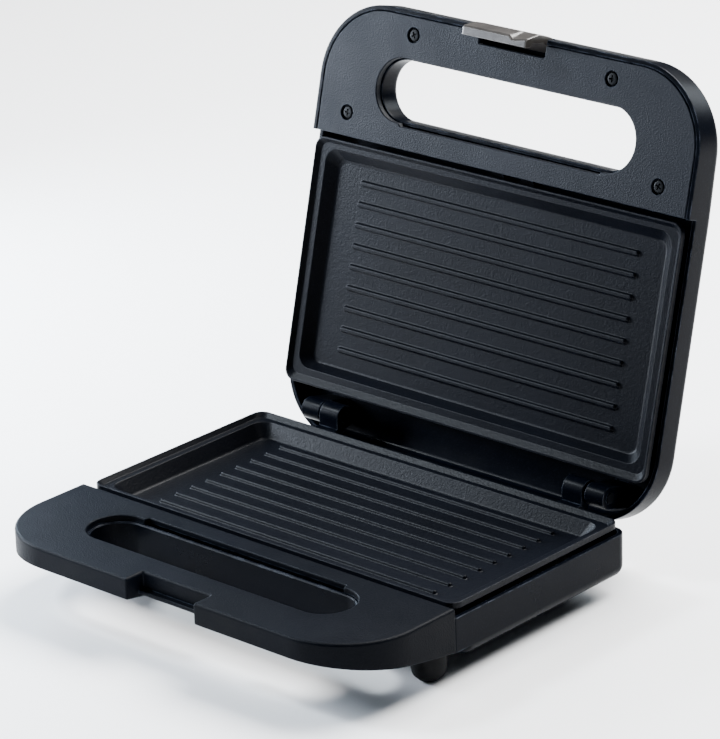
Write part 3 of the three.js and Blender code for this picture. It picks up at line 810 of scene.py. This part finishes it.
def upper_casing():
    side = BODY_W / 2

    def outline(i=0.0):
        y = GRIP_D
        return rounded([
            (side, 0, CORNER_FRONT), (side, y - 0.15, 0), (side, y + 0.15, 0),
            (side, LID_D, CORNER_LID_REAR), (-side, LID_D, CORNER_LID_REAR),
            (-side, y + 0.15, 0), (-side, y - 0.15, 0), (-side, 0, CORNER_FRONT),
            (-20.4, 0, 0), (-20.0, 0, 0), (20.0, 0, 0), (20.4, 0, 0),
        ], i, 20)

    def below(depth):
        return lambda x, y: lid_height(x, y) - depth

    def rim(dz):
        def z(x, y):
            if abs(x) < 20.2 and y < 4:
                return 8.6 + dz
            return (RIM_DROP if y > GRIP_D else 0) + dz
        return z

    edge = 4.6
    lens = [circle(x, LENS_Y, LENS_HOLE, 28) for x in (-LENS_X, LENS_X)]
    flare = lambda i: stadium(SLOT_Y, SLOT_X - 1, SLOT_LID - 1, i)
    quarter = [k * math.pi / 16 for k in range(9)]
    steps = [(edge * (1 - math.sin(a)), below(edge * (1 - math.cos(a)))) for a in quarter]
    steps += [(0, rim(0.6)), (0.15, rim(0.15)), (0.6, rim(0)), (WALL - 0.4, rim(0)), (WALL, rim(0.4))]
    steps += [(WALL, below(5)), (WALL + 1.2, below(3.4)), (WALL + 2.6, below(2.6))]
    piece = Piece().wall(outline, steps)
    opening = 6.0
    piece.cap(outline(edge), [flare(-opening), *lens], lid_height, 5)
    inner = below(2.6)
    piece.cap(outline(WALL + 2.6), [flare(-1.8), *lens], inner, 8)
    for c in lens:
        piece.loft([[Vector((p.x, p.y, z(p.x, p.y))) for p in c] for z in (lid_height, inner)])
    # cups that close the lens holes behind
    low, high, wide = 14.6, 17.6, 4.5
    for x in (-LENS_X, LENS_X):
        cup = turned([
            (0, low), (wide, low), (wide, high), (LENS_HOLE, high), (LENS_HOLE, low + 1.2), (0, low + 1.2)])
        piece.add(cup, Matrix.Translation((x, LENS_Y, 0)))
    # grip slot: rounded mouth on the outer face, then a straight tube to the panel
    mouth = [(-opening * (1 - math.sin(a)), below(5 * (1 - math.cos(a)))) for a in quarter]
    z0 = PANEL_T + FIT
    mouth += [(0, z0 + 0.4), (-0.3, z0), (-1.5, z0), (-1.8, z0 + 0.3), (-1.8, inner)]
    piece.wall(flare, mouth)
    # hinge lugs
    hz = HINGE_Z - TOP - LID_GAP
    for x0 in (LID_LUG_X, -LID_LUG_X - LID_LUG_W):
        shape = arc(HINGE_Y, hz, LID_LUG_R, range(180, 361, 9))
        shape += [(HINGE_Y + LID_LUG_R, LID_TOP - WALL), (HINGE_Y - LID_LUG_R, LID_TOP - WALL)]
        piece.add(extruded(shape, x0, x0 + LID_LUG_W, 0.5, [(HINGE_Y, hz, PIN_R + FIT)]))
    # wall behind the panel
    y0, y1 = GRIP_D - WALL, GRIP_D - 0.05
    shape = profile([(y0, 16, 0), (y0, PANEL_T + FIT, 0.4), (y1, PANEL_T + FIT, 0.4), (y1, 16, 0)], 3)
    piece.add(extruded(shape, -side + 1.6, side - 1.6, 0.2))
    return piece


def grip_panel():
    x = BODY_W / 2 - 2.7
    y0, y1 = 2.7, GRIP_D - 0.2
    r = CORNER_FRONT - 2.5
    nx, ny = 20.0, 8.6

    def outline(i=0.0):
        return rounded([
            (x, y0, r), (x, y1, 0.8), (-x, y1, 0.8), (-x, y0, r),
            (-nx, y0, 0.6), (-nx, ny, 0.6), (nx, ny, 0.6), (nx, y0, 0.6)], i, 16)

    slot = lambda i: slot_outline(SLOT_LID, 1.3, i)
    bores = [(s * sx, y) for sx, y in SCREWS_LID for s in (-1, 1)]
    piece = Piece()
    e = 0.55
    steps = [(i, -z) for i, z in fillet(e, 0, 4)] + [(0, PANEL_T - 0.2), (0.2, PANEL_T)]
    piece.wall(outline, steps)
    piece.cap(outline(e), [slot(-0.6)] + [circle(a, b, 4.0) for a, b in bores], 0)
    piece.cap(outline(0.2), [slot(0)] + [circle(a, b, 1.7) for a, b in bores], PANEL_T)
    piece.wall(slot, [(-i, -z) for i, z in fillet(0.6, 0, 4)] + [(0, PANEL_T)])
    for a, b in bores:
        path = profile([
            (4.0, 0, 0), (3.8, 0.2, 0.1), (3.8, 2.2, 0.3), (1.7, 2.2, 0.1), (1.7, PANEL_T, 0)], 3)
        piece.loft([[Vector((p.x, p.y, z)) for p in circle(a, b, rr)] for rr, z in path])
    return piece


def latch():
    """Catch clip: finger face towards -y, tooth at the tip, knuckle on the pin, scoop near the right end."""
    tip = -14.5
    corners = [
        (0.5, tip, 0.25), (4.1, tip, 0.35), (4.1, tip + 3.9, 0.4), (2.0, tip + 5, 0.6), (1.6, -1, 1.5),
        (3.0, 2.6, 1.5), (7.2, 6.9, 0.6), (5.5, 8.9, 0.8), (2.8, 8.2, 0.8), (1.3, 7.1, 0.6),
        (-1, 4.6, 2), (-1.7, 0, 3), (-2.1, -5.5, 3), (-0.5, tip + 0.9, 0.35)]
    piece = Piece()
    xs = [-LATCH_X, -LATCH_X + 0.1, -LATCH_X + 0.35]
    xs += [-LATCH_X + 0.9 + k * (2 * LATCH_X - 1.8) / 56 for k in range(57)]
    xs += [LATCH_X - 0.35, LATCH_X - 0.1, LATCH_X]
    insets = [0.5, 0.2, 0.04] + [0] * 57 + [0.04, 0.2, 0.5]
    rings = []
    for x, inset in zip(xs, insets):
        dip = smooth((x - 8.5) / 2.2) * (0.35 + 0.65 * smooth((LATCH_X - 0.5 - x) / 6.5))
        ring = []
        for p in rounded(corners, inset, 6):
            near = max(0.0, min(1.0, (-8.0 - p.y) / 5.0)) if p.x < 1.2 else 0.0
            ring.append(Vector((x, p.x + 1.5 * dip * near, p.y)))
        rings.append(ring)
    piece.loft(rings)
    for ring in (rings[0], rings[-1]):
        flat = Piece().cap([Vector((p.y, p.z)) for p in ring], [], 0)
        turn = Matrix(((0, 0, 1, ring[0].x), (1, 0, 0, 0), (0, 1, 0, 0), (0, 0, 0, 1)))
        piece.add(flat, turn)
    return piece


base_cover().place("base_grip_cover_fine", BASE, "base", "grained_plastic", COVER, ["base_grip_cover"])
lower_casing().place("lower_casing_fine", BASE, "base", "black_plastic", CASING, ["lower_casing"])
cooking_plate(TOP - PLATE_RIM, LOWER_FLOOR - PLATE_RIM, LOWER_PLATE).place(
    "lower_cooking_plate_fine", BASE, "base", "nonstick", NONSTICK, ["lower_cooking_plate"])
cooking_plate(-PLATE_RIM, UPPER_FLOOR - PLATE_RIM, UPPER_PLATE).place(
    "upper_cooking_plate_fine", FACE_DOWN, "lid", "nonstick", NONSTICK, ["upper_cooking_plate"])
upper_casing().place("upper_casing_fine", LID, "lid", "black_plastic", CASING, ["upper_casing"])
grip_panel().place("lid_grip_panel_fine", LID, "lid", "grained_plastic", PANEL, ["lid_grip_panel"])
latch().place("latch_fine", LID, "latch", "grey_plastic", LATCH, ["latch"], 30)

for side, s in (("left", -1), ("right", 1)):
    x, y = FEET["front"]
    foot(s * x, y, lambda px, py: grip_under(py) - 0.1).place(
        f"foot_front_{side}_fine", BASE, "base", "rubber", RUBBER, [f"foot_front_{side}"])
    x, y = FEET["rear"]
    foot(s * x, y, UNDER - 0.05).place(
        f"foot_rear_{side}_fine", BASE, "base", "rubber", RUBBER, [f"foot_rear_{side}"])
    for i, (x, y) in enumerate(SCREWS_LID, 1):
        spin = Matrix.Rotation(0.5 * i + s, 4, "Z")
        seat = LID @ Matrix.Translation((s * x, y, 0.5)) @ spin
        screw(2.9, 1.4, 1.3, 7).place(
            f"panel_screw_{side}_{i}_fine", seat, "lid", "black_steel", BLACK_STEEL,
            [f"panel_screw_{side}_{i}"])
    for i, (x, y) in enumerate(SCREWS_BASE, 1):
        z = grip_under(y) - 1.9 - GRIP_SLOPE * 3
        spin = Matrix.Rotation(0.9 * i - s, 4, "Z")
        seat = BASE @ Matrix.Translation((s * x, y, z)) @ spin
        screw(2.8, 1.4, 1.3, 9).place(
            f"cover_screw_{side}_{i}_fine", seat, "base", "black_steel", BLACK_STEEL,
            [f"cover_screw_{side}_{i}"])

lenses = (("lens_red", -LENS_X, "red_lens", RED), ("lens_green", LENS_X, "green_lens", GREEN))
for name, x, slot_name, mat in lenses:
    dome = turned(profile([(0, 0, 0), (LENS_R, 0, 0), (LENS_R, 2.3, 0.6), (1.8, 3.3, 1.2), (0, 3.5, 0)], 6))
    seat = LID @ Matrix.Translation((x, LENS_Y, LID_TOP - 2.7))
    dome.place(f"{name}_fine", seat, "lid", slot_name, mat, [name])

gland = turned(profile([
    (3.2, -4.4, 0), (5.0, -4.4, 0.3), (5.0, 0.2, 0), (7.0, 0.2, 0.5), (7.0, 2.4, 0.6),
    (4.6, 2.7, 0.5), (4.7, 3.6, 0.3), (4.2, 3.9, 0.3), (4.3, 4.9, 0.3),
    (3.9, 5.2, 0.3), (4.0, 6.2, 0.3), (3.6, 6.6, 0.3), (3.7, 7.8, 0.4), (3.2, 7.8, 0.2), (3.2, -4.4, 0)], 4))
seat = BASE @ Matrix.Translation((GLAND_X, BASE_D, GLAND_Z)) @ Matrix.Rotation(-math.pi / 2, 4, "X")
gland.place("cord_gland_fine", seat, "base", "rubber", RUBBER, ["cord_gland"])

CARRIED = {
    "lower_heating_element": ELEMENT, "upper_heating_element": ELEMENT,
    "lower_reflector": SHEET, "upper_reflector": SHEET, "thermostat": STEEL,
    "thermal_fuse": CERAMIC, "terminal_block": CERAMIC,
    "hinge_pin_left": BLACK_STEEL, "hinge_pin_right": BLACK_STEEL, "latch_pin": STEEL,
    "lower_plate_screw_left": STEEL, "lower_plate_screw_right": STEEL,
    "upper_plate_screw_left": STEEL, "upper_plate_screw_right": STEEL,
}
for name, mat in CARRIED.items():
    node = frame["nodes"][name]
    node.data.materials.clear()
    node.data.materials.append(mat)

# ---- floor, light, camera ----
floor_mesh = bpy.data.meshes.new("floor")
floor_bm = bmesh.new()
bmesh.ops.create_grid(floor_bm, x_segments=8, y_segments=8, size=6)
floor_bm.to_mesh(floor_mesh)
floor_bm.free()
floor = bpy.data.objects.new("floor", floor_mesh)
bpy.context.scene.collection.objects.link(floor)
floor_mat = Nodes("pale_floor")
floor_mat.colour(floor_mat.mix(floor_mat.noise(3, 2), (0.90, 0.90, 0.905), (0.92, 0.92, 0.92)))
floor_mat.set(roughness=0.7)
floor_mesh.materials.append(floor_mat.mat)
floor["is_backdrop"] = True

world = bpy.data.worlds.new("studio")
bpy.context.scene.world = world
world.use_nodes = True
world.node_tree.nodes["Background"].inputs["Color"].default_value = (0.75, 0.87, 1.0, 1)
world.node_tree.nodes["Background"].inputs["Strength"].default_value = 0.05

centre = Vector((0, 0, 0.08))


def softbox(name, direction, distance, width, tall, power, colour=(1, 1, 1)):
    light = bpy.data.lights.new(name, "AREA")
    light.shape = "RECTANGLE"
    light.size, light.size_y = width, tall
    light.energy = power
    light.color = colour
    obj = bpy.data.objects.new(name, light)
    d = Vector(direction).normalized()
    obj.location = centre + d * distance
    obj.rotation_mode = "QUATERNION"
    obj.rotation_quaternion = (-d).to_track_quat("-Z", "Y")
    bpy.context.scene.collection.objects.link(obj)


softbox("top_light", (0.1, 0.75, 1), 1.9, 1.5, 1.3, 195)
softbox("key_left", (-0.90, -0.38, 0.26), 0.70, 0.22, 0.22, 13, (0.80, 0.88, 1.0))
softbox("rim_rear", (0.2, 0.9, 0.42), 1.4, 0.5, 0.4, 9, (0.85, 0.93, 1.0))
softbox("rear_left", (-0.93, 0.20, 0.26), 0.62, 0.2, 0.2, 4.2, (0.72, 0.85, 1.0))
softbox("edge_left", (-0.65, -0.34, 0.68), 1.3, 0.22, 0.22, 22, (0.85, 0.93, 1.0))

eye = Vector((1.13374, -1.24071, 0.74986))
aim = Vector((0.2278, -0.24606, 0.22907))
roll = math.radians(-1.77)
back = (eye - aim).normalized()
right = (-back).cross(Vector((0, 0, 1))).normalized()
up = right.cross(-back)
cam_x = right * math.cos(roll) + up * math.sin(roll)
cam_y = up * math.cos(roll) - right * math.sin(roll)
camera_data = bpy.data.cameras.new("camera")
camera_data.lens = 191.6
camera_data.sensor_width = 36
camera_data.shift_y = 0.0019
camera_data.clip_start, camera_data.clip_end = 0.05, 30
camera = bpy.data.objects.new("camera", camera_data)
bpy.context.scene.collection.objects.link(camera)
camera.matrix_world = Matrix((
    (cam_x.x, cam_y.x, back.x, eye.x),
    (cam_x.y, cam_y.y, back.y, eye.y),
    (cam_x.z, cam_y.z, back.z, eye.z),
    (0, 0, 0, 1)))
bpy.context.scene.camera = camera

low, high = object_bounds()
{"cad": [list(cad_low), list(cad_high)], "visual": [list(low), list(high)]}
